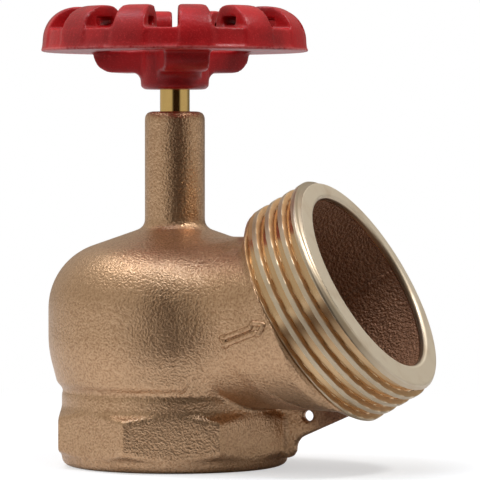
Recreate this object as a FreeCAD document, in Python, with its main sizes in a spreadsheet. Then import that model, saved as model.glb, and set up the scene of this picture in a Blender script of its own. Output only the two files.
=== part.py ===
import FreeCAD, Part
import math
import os
import Sketcher

# Angle-pattern hydrant valve.  The origin lies on the stem's axis at the inlet's bottom face,
# +X points towards the outlet and +Z up.  All sizes are millimetres and degrees.

SIZES = (
    # inlet boss and collar
    ("boss_radius", 41.9, "turned cylinder that carries the octagon"),
    ("boss_round", 3.2, "round at the boss's bottom edge"),
    ("octagon_flats", 84.6, "octagon across flats"),
    ("octagon_bottom", 4.6, "height where the octagon starts"),
    ("octagon_top", 20.6, "height where the octagon ends"),
    ("octagon_bevel", 2.0, "height of the turned bevel at an octagon corner"),
    ("collar_top", 26.8, "top edge of the plain collar"),
    ("collar_step", 0.5, "small step at the collar's top"),
    # globe and neck, outside
    ("waist_height", 28.6, "narrowest level between collar and globe"),
    ("waist_round", 1.0, "hollow round at the waist"),
    ("belly_foot_radius", 43.7, "globe just above the waist"),
    ("belly_foot_height", 30.9, "level of the globe's lower corner"),
    ("belly_foot_round", 2.5, "round of the globe's lower corner"),
    ("belly_radius", 46.85, "widest radius of the globe"),
    ("belly_low", 43.0, "level where the globe reaches its widest"),
    ("belly_low_round", 40.0, "round below the widest level"),
    ("shoulder_height", 75.6, "level where the globe's wall would meet its crown"),
    ("shoulder_round", 24.5, "round of the shoulder"),
    ("neck_radius", 11.15, "neck outside"),
    ("neck_foot", 88.1, "level where the crown would meet the neck"),
    ("neck_fillet", 3.6, "fillet at the neck's foot"),
    ("neck_top", 130.9, "top of the neck"),
    ("neck_round", 2.6, "round at the neck's top"),
    # waterway inside
    ("inlet_radius", 36.1, "inlet thread's inner radius"),
    ("inlet_depth", 21.0, "length of the inlet's threaded wall"),
    ("orifice_radius", 27.0, "hole through the seat"),
    ("orifice_bottom", 25.5, "level where the cone under the seat ends"),
    ("seat_height", 31.0, "level of the seat's lip"),
    ("seat_land", 2.6, "width of the seat's lip"),
    ("seat_flank", 1.2, "slope of the lip's outer flank"),
    ("floor_height", 28.4, "chamber floor around the seat"),
    ("floor_radius", 36.6, "chamber floor's outer radius"),
    ("wall", 5.1, "casting wall"),
    ("crown_wall", 5.4, "casting wall measured upright through the crown"),
    ("crown_bevel", 13.0, "slanted corner of the chamber's ceiling, across and upright"),
    # stem, its bore and seals
    ("stem_radius", 5.5, "polished part of the stem"),
    ("stem_clearance", 0.05, "running clearance of stem and disc parts"),
    ("thread_radius", 7.9, "outside of the stem's thread"),
    ("thread_clearance", 0.1, "clearance of the stem's thread in the neck"),
    ("thread_clear", 1.0, "bare stem between disc nut and thread"),
    ("lift", 18.0, "travel from closed to open"),
    ("lift_spare", 0.5, "room left above the thread when open"),
    ("thread_bore_top", 112.0, "top of the neck's threaded bore"),
    ("seal_cord", 2.0, "cord diameter of a ring seal"),
    ("seal_slack", 0.6, "groove width beyond the cord"),
    ("seal_low", 119.0, "middle of the lower ring seal"),
    ("seal_pitch", 5.6, "distance between the ring seals"),
    # disc and its parts
    ("disc_radius", 31.6, "outside of the disc holder"),
    ("disc_plate", 5.0, "thickness of the disc holder's plate"),
    ("disc_rim", 1.6, "thickness of the rim around the rubber"),
    ("disc_rim_drop", 3.4, "how far the rim reaches down the rubber"),
    ("rubber_thickness", 6.0, "seal disc"),
    ("rubber_gap", 0.1, "gap between rubber and seat, and around the rubber"),
    ("washer_radius", 20.0, "washer under the rubber"),
    ("washer_thickness", 2.0, "washer under the rubber"),
    ("screw_radius", 5.0, "shank of the seal screw"),
    ("screw_gap", 0.25, "clearance hole around the shank"),
    ("screw_flats", 16.0, "screw head across flats"),
    ("screw_head", 5.6, "screw head height"),
    ("screw_web", 1.2, "metal left between screw tip and socket"),
    ("socket_floor", 10.3, "socket floor above the rubber"),
    ("socket_radius", 12.0, "socket for the disc nut"),
    ("socket_wall", 3.6, "wall of the socket"),
    ("foot_radius", 10.0, "foot of the stem"),
    ("foot_height", 4.2, "foot of the stem"),
    ("foot_gap", 0.2, "end play of the foot"),
    ("foot_neck_radius", 7.0, "stem between foot and thread"),
    ("nut_body", 5.0, "part of the disc nut inside the socket"),
    ("nut_flats", 30.0, "disc nut across flats"),
    ("nut_flange", 4.0, "height of the disc nut's hexagon"),
    # handwheel
    ("hub_radius", 12.6, "hub outside"),
    ("hub_bottom", 139.0, "hub's underside, on the stem's shoulder"),
    ("hub_height", 15.0, "hub"),
    ("hub_bevel", 1.2, "bevel at the hub's edges"),
    ("rim_inner", 28.0, "inside of the rim"),
    ("rim_outer", 49.4, "outside of the lip"),
    ("rim_bottom", 152.8, "underside of the rim"),
    ("rim_band", 7.8, "height of the band between lobes"),
    ("rim_recess", 1.5, "band set back from the lip"),
    ("rim_lip", 1.1, "height of the lip under the band"),
    ("lobe_count", 12, "lobes round the rim"),
    ("lobe_angle", 15.0, "width of a lobe in degrees"),
    ("lobe_height", 16.4, "lobe's top above the rim's underside"),
    ("lobe_set", 0.3, "foot of a lobe set back from the lip"),
    ("lobe_draft", 1.2, "draft of a lobe's outer face"),
    ("lobe_round", 12.0, "round over a lobe's outer edge"),
    ("lobe_inner_round", 6.0, "round over a lobe's inner edge"),
    ("tunnel_inner", 32.6, "inside of the groove through the lobes"),
    ("tunnel_outer", 41.0, "outside of the groove through the lobes"),
    ("tunnel_rise", 1.2, "groove's floor above the band"),
    ("tunnel_height", 3.0, "groove through the lobes"),
    ("wheel_phase", 3.8, "turn of wheel and stem about the axis"),
    ("spoke_count", 3, "spokes"),
    ("spoke_width", 16.5, "spoke across"),
    ("spoke_bottom", 145.2, "underside of a spoke"),
    ("spoke_thickness", 8.2, "spoke's plate"),
    ("spoke_round", 7.6, "spoke's lower outer corner"),
    ("spoke_sink", 1.5, "how far a spoke reaches into the rim"),
    ("spoke_fillet", 3.2, "fillet where a spoke's underside leaves the hub"),
    ("spoke_leg", 6.0, "spoke's upright under the rim"),
    ("square", 7.6, "stem's square across flats"),
    ("square_spare", 0.6, "how far the square stays below the hub's top"),
    ("square_gap", 0.06, "clearance of the hub's square hole"),
    ("bolt_radius", 3.0, "stem's threaded end"),
    ("bolt_spare", 1.2, "stem end above the nut"),
    ("wheel_washer_radius", 8.0, "washer on the hub"),
    ("wheel_washer_thickness", 1.6, "washer on the hub"),
    ("wheel_washer_gap", 0.25, "clearance of the washer on the stem"),
    ("wheel_nut_flats", 10.0, "wheel nut across flats"),
    ("wheel_nut_height", 5.2, "wheel nut"),
    # outlet
    ("outlet_elevation", 29.5, "outlet axis above the horizontal"),
    ("outlet_origin", 24.5, "height where the outlet axis crosses the stem's axis"),
    ("outlet_face", 89.0, "outlet face along its axis"),
    ("outlet_bore", 34.8, "mouth's radius"),
    ("outlet_bevel", 1.0, "bevel inside the mouth"),
    ("hose_radius", 43.7, "hose thread's crest"),
    ("hose_depth", 2.4, "hose thread's depth"),
    ("hose_pitch", 5.72, "hose thread's pitch"),
    ("hose_crest", 1.5, "flat on the crest"),
    ("hose_flank", 25.0, "slope of a thread flank from upright"),
    ("hose_start", 50.0, "where the first valley starts, in degrees from the top"),
    ("hose_lead", 1.54, "first valley's middle, from the collar's start"),
    ("hose_length", 24.0, "threaded length"),
    ("hose_bevel", 2.0, "bevel at the outlet face"),
    ("mouth_start", 59.5, "inner end of the turned mouth along the outlet axis"),
    ("shoulder_start", 56.0, "where the shoulder behind the thread starts"),
    ("branch_sink", 0.3, "how far the branch stays inside the globe's own outline"),
    ("branch_bottom", 23.0, "underside of the branch"),
    ("branch_top", 84.5, "top of the branch"),
    ("branch_round", 28.0, "rounds at the branch's underside"),
    ("branch_reach", 76.0, "branch's length from the stem's axis, before its end is cut square"),
    ("passage_reach", 61.0, "passage's length from the stem's axis"),
    ("branch_root", 14.0, "where the branch starts inside the globe, from the stem's axis"),
    ("branch_waist", 37.0, "half width of the branch where it starts"),
    ("branch_mouth", 46.7, "half width of the branch at its full length"),
    ("branch_wall", 3.2, "flank of the branch where it starts"),
    ("cone_depth", 7.0, "depth of the cone turned on the branch's end"),
    ("cone_slope", 24.0, "slope of that cone"),
    # web and eye
    ("web_thickness", 4.0, "web under the branch"),
    ("web_foot", 4.0, "lower end of the web"),
    ("web_foot_reach", 48.0, "web's foot from the stem's axis"),
    ("web_knee", 11.2, "level where the web starts to slope"),
    ("web_knee_reach", 49.6, "web's knee from the stem's axis"),
    ("web_slope", 24.0, "slope of the web's lower edge"),
    ("web_reach", 74.0, "far end of the web"),
    ("eye_radius", 2.1, "hole in the web"),
    ("eye_reach", 53.9, "hole from the stem's axis"),
    ("eye_height", 19.8, "hole's level"),
)

FULL_TURN = 360
HALF_TURN = 180
BOSS_SIDES = 8
NUT_SIDES = 6
SQUARE_SIDES = 4
SEAL_SIDES = 6

doc = FreeCAD.newDocument("HydrantValve")
sheet = doc.addObject("Spreadsheet::Sheet", "Sizes")


class Size:
    # A sheet cell, or a sum worked out from cells: its expression and its present value.
    def __init__(self, text, value):
        self.text = text
        self.value = value

    def joined(self, sign, other, value):
        return Size("(%s %s %s)" % (self.text, sign, other.text), value)

    def __add__(self, other):
        other = as_size(other)
        return self.joined("+", other, self.value + other.value)

    def __sub__(self, other):
        other = as_size(other)
        return self.joined("-", other, self.value - other.value)

    def __mul__(self, other):
        other = as_size(other)
        return self.joined("*", other, self.value * other.value)

    def __truediv__(self, other):
        other = as_size(other)
        return self.joined("/", other, self.value / other.value)

    def __neg__(self):
        return zero - self


def as_size(thing):
    return thing if isinstance(thing, Size) else Size(repr(float(thing)), float(thing))


zero = as_size(0)


def sine(angle):
    return Size("sin(%s)" % angle.text, math.sin(math.radians(angle.value)))


def cosine(angle):
    return Size("cos(%s)" % angle.text, math.cos(math.radians(angle.value)))


def tangent(angle):
    return sine(angle) / cosine(angle)


class Cells:
    pass


size = Cells()
for row, (alias, value, note) in enumerate(SIZES, 1):
    sheet.set("A%d" % row, note)
    sheet.set("B%d" % row, str(value))
    sheet.setAlias("B%d" % row, alias)
    setattr(size, alias, Size("Sizes.%s" % alias, float(value)))
doc.recompute()


# Sketches, every point and radius bound to the sheet

def new_body(label):
    return doc.addObject("PartDesign::Body", label)


def new_sketch(body, role, name):
    sketch = body.newObject("Sketcher::SketchObject", name)
    plane = next(item for item in body.Origin.OriginFeatures if item.Role == role)
    sketch.AttachmentSupport = [(plane, "")]
    sketch.MapMode = "FlatFace"
    return sketch


def bind(sketch, constraint, amount):
    index = sketch.addConstraint(constraint)
    sketch.setExpression("Constraints[%d]" % index, amount.text)


def place(sketch, geometry, point, x, y):
    # fixes a point by its two distances from the sketch's origin
    bind(sketch, Sketcher.Constraint("DistanceX", -1, 1, geometry, point, x.value), x)
    bind(sketch, Sketcher.Constraint("DistanceY", -1, 1, geometry, point, y.value), y)


def trimmed(before, corner, after, radius):
    # where an arc of this radius leaves the runs on both sides of a corner, and its centre
    inward = (before - corner).normalize()
    outward = (after - corner).normalize()
    half = inward.getAngle(outward) / 2
    reach = radius / math.tan(half)
    middle = corner + (inward + outward).normalize() * (radius / math.sin(half))
    return corner + inward * reach, corner + outward * reach, middle


def outline(sketch, corners):
    # Closed outline of straight runs.  A corner is (x, y) or (x, y, radius of its tangent round).
    corners = [tuple(as_size(item) for item in corner) for corner in corners]
    spots = [FreeCAD.Vector(corner[0].value, corner[1].value, 0) for corner in corners]
    count = len(corners)
    arrive, leave, middles = list(spots), list(spots), [None] * count
    for i, corner in enumerate(corners):
        if len(corner) == 3:
            cut = trimmed(spots[i - 1], spots[i], spots[(i + 1) % count], corner[2].value)
            arrive[i], leave[i], middles[i] = cut
    runs = [sketch.addGeometry(Part.LineSegment(leave[i], arrive[(i + 1) % count])) for i in range(count)]
    for i, corner in enumerate(corners):
        before, after = runs[i - 1], runs[i]
        if len(corner) == 2:
            sketch.addConstraint(Sketcher.Constraint("Coincident", before, 2, after, 1))
            place(sketch, after, 1, corner[0], corner[1])
        else:
            round_corner(sketch, corner, spots[i], before, after, arrive[i], leave[i], middles[i])


def round_corner(sketch, corner, spot, before, after, start, end, middle):
    # the sharp corner stays as a construction point that both runs aim at
    aim = sketch.addGeometry(Part.Point(spot), True)
    place(sketch, aim, 1, corner[0], corner[1])
    turn_left = (start - middle).cross(end - middle).z > 0
    first, last = (start, end) if turn_left else (end, start)
    angles = [math.atan2(point.y - middle.y, point.x - middle.x) for point in (first, last)]
    circle = Part.Circle(middle, FreeCAD.Vector(0, 0, 1), corner[2].value)
    arc = sketch.addGeometry(Part.ArcOfCircle(circle, angles[0], angles[1]))
    arc_in, arc_out = (1, 2) if turn_left else (2, 1)
    sketch.addConstraint(Sketcher.Constraint("PointOnObject", aim, 1, before))
    sketch.addConstraint(Sketcher.Constraint("PointOnObject", aim, 1, after))
    sketch.addConstraint(Sketcher.Constraint("Tangent", before, 2, arc, arc_in))
    sketch.addConstraint(Sketcher.Constraint("Tangent", arc, arc_out, after, 1))
    bind(sketch, Sketcher.Constraint("Radius", arc, corner[2].value), corner[2])


def circle_at(sketch, x, y, radius):
    x, y = as_size(x), as_size(y)
    centre = FreeCAD.Vector(x.value, y.value, 0)
    ring = sketch.addGeometry(Part.Circle(centre, FreeCAD.Vector(0, 0, 1), radius.value))
    place(sketch, ring, 3, x, y)
    bind(sketch, Sketcher.Constraint("Radius", ring, radius.value), radius)


def polygon_at(sketch, sides, flats, x=0, y=0, turn=0):
    # regular polygon about a point, its first corner turned this far from the sketch's first axis
    corner_radius = flats / cosine(as_size(HALF_TURN / sides)) / 2
    corners = []
    for i in range(sides):
        angle = as_size(turn + FULL_TURN * i / sides)
        corners.append((as_size(x) + corner_radius * cosine(angle), as_size(y) + corner_radius * sine(angle)))
    outline(sketch, corners)


# Features on those sketches

def turned(body, kind, name, sketch, axis="V_Axis"):
    feature = body.newObject(kind, name)
    feature.Profile = sketch
    feature.ReferenceAxis = (sketch, [axis])
    feature.Angle = FULL_TURN
    doc.recompute()
    return feature


def extruded(body, kind, name, sketch, length, side="One side", backwards=False):
    feature = body.newObject(kind, name)
    feature.Profile = sketch
    feature.SideType = side
    feature.Reversed = backwards
    feature.setExpression("Length", length.text)
    doc.recompute()
    return feature


def raised(sketch, height):
    # lifts a sketch off its plane
    sketch.setExpression("AttachmentOffset.Base.z", height.text)
    return sketch


def repeated(body, name, feature, axis_role, count):
    pattern = body.newObject("PartDesign::PolarPattern", name)
    pattern.Originals = [feature]
    axis = next(item for item in body.Origin.OriginFeatures if item.Role == axis_role)
    pattern.Axis = (axis, [""])
    pattern.Angle = FULL_TURN
    pattern.setExpression("Occurrences", count.text)
    body.Tip = pattern
    doc.recompute()
    return pattern


def turned_body(label, corners):
    # a piece that one turned outline describes, in the plane of radius and height
    body = new_body(label)
    sketch = new_sketch(body, "XZ_Plane", label + "_outline")
    outline(sketch, corners)
    turned(body, "PartDesign::Revolution", label + "_turned", sketch)
    return body


# Casting

def outlet_sketch(body, name):
    # plane of symmetry, with the first axis along the outlet and the origin on the stem's axis
    sketch = new_sketch(body, "XZ_Plane", name)
    sketch.setExpression("AttachmentOffset.Base.y", size.outlet_origin.text)
    sketch.setExpression("AttachmentOffset.Rotation.Yaw", size.outlet_elevation.text)
    return sketch


crown_slope = (size.neck_foot - size.shoulder_height) / (size.belly_radius - size.neck_radius)


def casting_outside(body):
    sketch = new_sketch(body, "XZ_Plane", "globe_outline")
    waist = size.boss_radius - size.collar_step
    outline(sketch, [
        (0, 0),
        (size.boss_radius, 0, size.boss_round),
        (size.boss_radius, size.collar_top),
        (waist, size.collar_top + size.collar_step),
        (waist, size.waist_height, size.waist_round),
        (size.belly_foot_radius, size.belly_foot_height, size.belly_foot_round),
        (size.belly_radius, size.belly_low, size.belly_low_round),
        (size.belly_radius, size.shoulder_height, size.shoulder_round),
        (size.neck_radius, size.neck_foot, size.neck_fillet),
        (size.neck_radius, size.neck_top, size.neck_round),
        (0, size.neck_top)])
    return turned(body, "PartDesign::Revolution", "globe", sketch)


def octagon_boss(body):
    sketch = raised(new_sketch(body, "XY_Plane", "octagon_outline"), size.octagon_bottom)
    polygon_at(sketch, BOSS_SIDES, size.octagon_flats)
    octagon = extruded(body, "PartDesign::Pad", "octagon", sketch, size.octagon_top - size.octagon_bottom)
    # bevels turned on the corners above and below
    flat = size.octagon_flats / 2
    corner = flat / cosine(as_size(HALF_TURN / BOSS_SIDES))
    beyond = corner + size.octagon_bevel
    slope = size.octagon_bevel / (corner - flat)
    drop = slope * (beyond - flat)
    for name, level, upward in (("bevel_low", size.octagon_bottom, 1), ("bevel_high", size.octagon_top, -1)):
        cut = new_sketch(body, "XZ_Plane", name + "_outline")
        outline(cut, [(flat, level), (beyond, level), (beyond, level + drop * upward)])
        turned(body, "PartDesign::Groove", name, cut)
    return octagon


def branch_section(body, name, reach, flank):
    # the globe's own outline on a narrower width, upright across the branch
    sketch = raised(new_sketch(body, "YZ_Plane", name), reach)
    corner = size.shoulder_height - size.branch_sink
    ridge = flank - (size.branch_top - corner) / crown_slope
    outline(sketch, [
        (-flank, size.branch_bottom, size.branch_round),
        (flank, size.branch_bottom, size.branch_round),
        (flank, corner, size.shoulder_round),
        (ridge, size.branch_top),
        (-ridge, size.branch_top),
        (-flank, corner, size.shoulder_round)])
    return sketch


def branch_outside(body):
    # the branch leaves the globe narrow and widens towards the outlet
    root = branch_section(body, "branch_root_outline", size.branch_root, size.branch_waist)
    mouth = branch_section(body, "branch_mouth_outline", size.branch_reach, size.branch_mouth)
    branch = body.newObject("PartDesign::AdditiveLoft", "branch")
    branch.Profile = root
    branch.Sections = [mouth]
    branch.Ruled = True
    doc.recompute()
    # its end is square to the outlet's axis, where the collar starts
    end = outlet_sketch(body, "branch_end_outline")
    collar_start = size.outlet_face - size.hose_length
    outline(end, [
        (collar_start, -size.branch_top),
        (size.outlet_face + size.branch_reach, -size.branch_top),
        (size.outlet_face + size.branch_reach, size.branch_top),
        (collar_start, size.branch_top)])
    extruded(body, "PartDesign::Pocket", "branch_end", end, size.belly_radius * 2, "Symmetric")
    # a cone turned on that end brings its corners down to the collar
    cone = outlet_sketch(body, "branch_cone_outline")
    outline(cone, [
        (collar_start, size.hose_radius),
        (collar_start, size.hose_radius + size.cone_depth),
        (collar_start - size.cone_depth / tangent(size.cone_slope), size.hose_radius + size.cone_depth)])
    turned(body, "PartDesign::Groove", "branch_cone", cone, "H_Axis")


def hose_collar(body):
    sketch = outlet_sketch(body, "hose_collar_outline")
    start = size.outlet_face - size.hose_length
    sunk = size.hose_radius - (start - size.shoulder_start)
    outline(sketch, [
        (size.shoulder_start, 0),
        (size.outlet_face, 0),
        (size.outlet_face, size.hose_radius - size.hose_bevel),
        (size.outlet_face - size.hose_bevel, size.hose_radius),
        (start, size.hose_radius),
        (size.shoulder_start, sunk)])
    return turned(body, "PartDesign::Revolution", "hose_collar", sketch, "H_Axis")


def hose_thread(body):
    # the valley between two crests, wound round the outlet's axis and out through its face
    sketch = outlet_sketch(body, "hose_thread_outline")
    sketch.setExpression("AttachmentOffset.Rotation.Roll", size.hose_start.text)
    start = size.outlet_face - size.hose_length + size.hose_lead
    half_open = (size.hose_pitch - size.hose_crest) / 2
    half_floor = half_open - size.hose_depth * tangent(size.hose_flank)
    overlap = size.hose_crest / 2
    half_top = half_open + overlap * tangent(size.hose_flank)
    outline(sketch, [
        (start - half_top, size.hose_radius + overlap),
        (start - half_floor, size.hose_radius - size.hose_depth),
        (start + half_floor, size.hose_radius - size.hose_depth),
        (start + half_top, size.hose_radius + overlap)])
    valley = body.newObject("PartDesign::SubtractiveHelix", "hose_thread")
    valley.Profile = sketch
    valley.ReferenceAxis = (sketch, ["H_Axis"])
    valley.Mode = "pitch-height-angle"
    valley.setExpression("Pitch", size.hose_pitch.text)
    valley.setExpression("Height", (size.hose_length + size.hose_pitch).text)
    doc.recompute()
    return valley


def web(body):
    sketch = new_sketch(body, "XZ_Plane", "web_outline")
    inside = size.boss_radius - size.wall / 2
    rise = tangent(size.web_slope) * (size.web_reach - size.web_knee_reach)
    outline(sketch, [
        (inside, size.web_foot),
        (size.web_foot_reach, size.web_foot, size.boss_round),
        (size.web_knee_reach, size.web_knee, size.boss_round),
        (size.web_reach, size.web_knee + rise),
        (size.web_reach, size.web_knee + rise + size.wall),
        (inside, size.floor_height - size.wall / 2)])
    return extruded(body, "PartDesign::Pad", "web", sketch, size.web_thickness, "Symmetric")


def casting_inside(body):
    sketch = new_sketch(body, "XZ_Plane", "waterway_outline")
    inner = size.belly_radius - size.wall
    screw_bore = size.thread_radius + size.thread_clearance
    stem_bore = size.stem_radius + size.stem_clearance
    groove = stem_bore + size.seal_cord
    seal_half = (size.seal_cord + size.seal_slack) / 2
    seal_high = size.seal_low + size.seal_pitch
    lip_outer = size.orifice_radius + size.seat_land
    crown_inner = size.shoulder_height - size.crown_wall + crown_slope * size.wall
    neck_inner = size.neck_foot - size.crown_wall + crown_slope * (size.neck_radius - screw_bore)
    outline(sketch, [
        (0, 0),
        (size.inlet_radius, 0),
        (size.inlet_radius, size.inlet_depth),
        (size.orifice_radius, size.orifice_bottom),
        (size.orifice_radius, size.seat_height),
        (lip_outer, size.seat_height),
        (lip_outer + size.seat_flank, size.floor_height),
        (size.floor_radius, size.floor_height),
        (inner, size.belly_low),
        (inner, crown_inner - size.crown_bevel),
        (inner - size.crown_bevel, crown_inner + crown_slope * size.crown_bevel),
        (screw_bore, neck_inner),
        (screw_bore, size.thread_bore_top),
        (stem_bore, size.thread_bore_top + screw_bore - stem_bore),
        (stem_bore, size.seal_low - seal_half),
        (groove, size.seal_low - seal_half),
        (groove, size.seal_low + seal_half),
        (stem_bore, size.seal_low + seal_half),
        (stem_bore, seal_high - seal_half),
        (groove, seal_high - seal_half),
        (groove, seal_high + seal_half),
        (stem_bore, seal_high + seal_half),
        (stem_bore, size.neck_top),
        (0, size.neck_top)])
    return turned(body, "PartDesign::Groove", "waterway", sketch)


def passage(body):
    sketch = new_sketch(body, "YZ_Plane", "passage_outline")
    flank = size.branch_waist - size.branch_wall
    low = size.branch_bottom + size.wall
    high = size.branch_top - size.wall
    radius = size.branch_round - size.wall
    outline(sketch, [
        (-flank, low, radius), (flank, low, radius), (flank, high, radius), (-flank, high, radius)])
    extruded(body, "PartDesign::Pocket", "passage", sketch, size.passage_reach, backwards=True)
    mouth = outlet_sketch(body, "mouth_outline")
    outline(mouth, [
        (size.mouth_start, 0),
        (size.outlet_face, 0),
        (size.outlet_face, size.outlet_bore + size.outlet_bevel),
        (size.outlet_face - size.outlet_bevel, size.outlet_bore),
        (size.mouth_start, size.outlet_bore)])
    return turned(body, "PartDesign::Groove", "mouth", mouth, "H_Axis")


def eye(body):
    sketch = new_sketch(body, "XZ_Plane", "eye_outline")
    circle_at(sketch, size.eye_reach, size.eye_height, size.eye_radius)
    return extruded(body, "PartDesign::Pocket", "eye", sketch, size.web_thickness, "Symmetric")


def make_valve_body():
    body = new_body("valve_body")
    casting_outside(body)
    octagon_boss(body)
    branch_outside(body)
    hose_collar(body)
    hose_thread(body)
    web(body)
    casting_inside(body)
    passage(body)
    eye(body)
    return body


# Levels that the stem, the disc and the wheel share, with the valve closed

rubber_bottom = size.seat_height + size.rubber_gap
rubber_top = rubber_bottom + size.rubber_thickness
plate_top = rubber_top + size.disc_plate
socket_floor = rubber_top + size.socket_floor
foot_bottom = socket_floor + size.foot_gap
foot_top = foot_bottom + size.foot_height
nut_bottom = foot_top + size.foot_gap
socket_top = nut_bottom + size.nut_body
nut_top = socket_top + size.nut_flange
thread_bottom = nut_top + size.thread_clear
thread_top = size.thread_bore_top - size.lift - size.lift_spare
washer_bottom = rubber_bottom - size.washer_thickness
screw_room = socket_floor - size.screw_web
hub_top = size.hub_bottom + size.hub_height
wheel_nut_bottom = hub_top + size.wheel_washer_thickness
wheel_nut_top = wheel_nut_bottom + size.wheel_nut_height


# Stem and its seals

def make_stem():
    square_top = hub_top - size.square_spare
    body = turned_body("stem", [
        (0, foot_bottom),
        (size.foot_radius, foot_bottom),
        (size.foot_radius, foot_top),
        (size.foot_neck_radius, foot_top),
        (size.foot_neck_radius, thread_bottom),
        (size.thread_radius, thread_bottom + size.thread_radius - size.foot_neck_radius),
        (size.thread_radius, thread_top),
        (size.stem_radius, thread_top + size.thread_radius - size.stem_radius),
        (size.stem_radius, size.hub_bottom),
        (size.bolt_radius, size.hub_bottom),
        (size.bolt_radius, wheel_nut_top + size.bolt_spare),
        (0, wheel_nut_top + size.bolt_spare)])
    sketch = raised(new_sketch(body, "XY_Plane", "stem_square_outline"), size.hub_bottom)
    polygon_at(sketch, SQUARE_SIDES, size.square)
    extruded(body, "PartDesign::Pad", "stem_square", sketch, square_top - size.hub_bottom)
    body.setExpression("Placement.Rotation.Angle", size.wheel_phase.text)
    return body


def make_ring_seal(label, level):
    body = new_body(label)
    sketch = new_sketch(body, "XZ_Plane", label + "_outline")
    middle = size.stem_radius + size.stem_clearance + size.seal_cord / 2
    across = size.seal_cord - size.stem_clearance
    polygon_at(sketch, SEAL_SIDES, across, middle, level, HALF_TURN / SEAL_SIDES)
    turned(body, "PartDesign::Revolution", label + "_ring", sketch)
    return body


# Disc and what is fastened to it

def make_disc_holder():
    screw_hole = size.screw_radius + size.stem_clearance
    rim_inside = size.disc_radius - size.disc_rim
    socket_outside = size.socket_radius + size.socket_wall
    return turned_body("disc_holder", [
        (screw_hole, rubber_top),
        (rim_inside, rubber_top),
        (rim_inside, rubber_top - size.disc_rim_drop),
        (size.disc_radius, rubber_top - size.disc_rim_drop),
        (size.disc_radius, plate_top - size.disc_rim),
        (size.disc_radius - size.disc_rim, plate_top),
        (socket_outside, plate_top),
        (socket_outside, socket_top),
        (size.socket_radius, socket_top),
        (size.socket_radius, socket_floor),
        (0, socket_floor),
        (0, screw_room),
        (screw_hole, screw_room)])


def flat_ring(label, inside, outside, bottom, top):
    return turned_body(label, [(inside, bottom), (outside, bottom), (outside, top), (inside, top)])


def make_seal_disc():
    outside = size.disc_radius - size.disc_rim - size.rubber_gap
    return flat_ring("seal_disc", size.screw_radius + size.screw_gap, outside, rubber_bottom, rubber_top)


def make_seal_washer():
    inside = size.screw_radius + size.screw_gap
    return flat_ring("seal_washer", inside, size.washer_radius, washer_bottom, rubber_bottom)


def hexagon(body, name, flats, bottom, height, bore=None):
    # nut or bolt head, with a bore where one is given
    sketch = raised(new_sketch(body, "XY_Plane", name + "_outline"), bottom)
    polygon_at(sketch, NUT_SIDES, flats)
    if bore:
        circle_at(sketch, 0, 0, bore)
    return extruded(body, "PartDesign::Pad", name, sketch, height)


def make_seal_screw():
    tip = screw_room - size.screw_gap
    body = turned_body("seal_screw", [
        (0, washer_bottom - size.screw_head / 2),
        (size.screw_radius, washer_bottom - size.screw_head / 2),
        (size.screw_radius, tip),
        (0, tip)])
    hexagon(body, "screw_head", size.screw_flats, washer_bottom - size.screw_head, size.screw_head)
    return body


def make_disc_nut():
    bore = size.thread_radius + size.thread_clearance
    body = flat_ring("disc_nut", bore, size.socket_radius - size.stem_clearance, nut_bottom, socket_top)
    hexagon(body, "disc_nut_hexagon", size.nut_flats, socket_top, size.nut_flange, bore)
    return body


# Handwheel and what holds it

def hub(body):
    sketch = new_sketch(body, "XZ_Plane", "hub_outline")
    outline(sketch, [
        (0, size.hub_bottom),
        (size.hub_radius - size.hub_bevel, size.hub_bottom),
        (size.hub_radius, size.hub_bottom + size.hub_bevel),
        (size.hub_radius, hub_top - size.hub_bevel),
        (size.hub_radius - size.hub_bevel, hub_top),
        (0, hub_top)])
    turned(body, "PartDesign::Revolution", "hub", sketch)


def spokes(body):
    # each spoke runs out from the hub and turns up into the rim; the first lies on -X
    sketch = new_sketch(body, "XZ_Plane", "spoke_outline")
    start = -(size.hub_radius / 2)
    outside = -(size.rim_inner + size.spoke_sink)
    inside = outside + size.spoke_leg
    top = size.rim_bottom + size.rim_band / 2
    plate = size.spoke_bottom + size.spoke_thickness
    outline(sketch, [
        (start, size.spoke_bottom),
        (outside, size.spoke_bottom, size.spoke_round),
        (outside, top),
        (inside, top),
        (inside, plate, size.spoke_sink),
        (start, plate)])
    spoke = extruded(body, "PartDesign::Pad", "spoke", sketch, size.spoke_width, "Symmetric")
    repeated(body, "spokes", spoke, "Z_Axis", size.spoke_count)


def hub_fillets(body):
    # where the undersides of the spokes leave the hub
    base = body.Tip
    corners = []
    for number, edge in enumerate(base.Shape.Edges, 1):
        box = edge.BoundBox
        level = abs(box.ZMin - size.spoke_bottom.value) + abs(box.ZMax - size.spoke_bottom.value)
        reach = max(math.hypot(spot.Point.x, spot.Point.y) for spot in edge.Vertexes)
        if max(level, abs(reach - size.hub_radius.value)) < size.stem_clearance.value:
            corners.append("Edge%d" % number)
    fillet = body.newObject("PartDesign::Fillet", "hub_fillets")
    fillet.Base = (base, corners)
    fillet.setExpression("Radius", size.spoke_fillet.text)
    doc.recompute()


def rim(body):
    sketch = new_sketch(body, "XZ_Plane", "rim_outline")
    band_top = size.rim_bottom + size.rim_band
    band_foot = size.rim_outer - size.rim_recess / 2
    outline(sketch, [
        (size.rim_inner, size.rim_bottom),
        (size.rim_outer, size.rim_bottom),
        (size.rim_outer, size.rim_bottom + size.rim_lip),
        (band_foot, size.rim_bottom + size.rim_lip),
        (size.rim_outer - size.rim_recess, band_top),
        (size.rim_inner, band_top)])
    turned(body, "PartDesign::Revolution", "rim", sketch)


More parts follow.
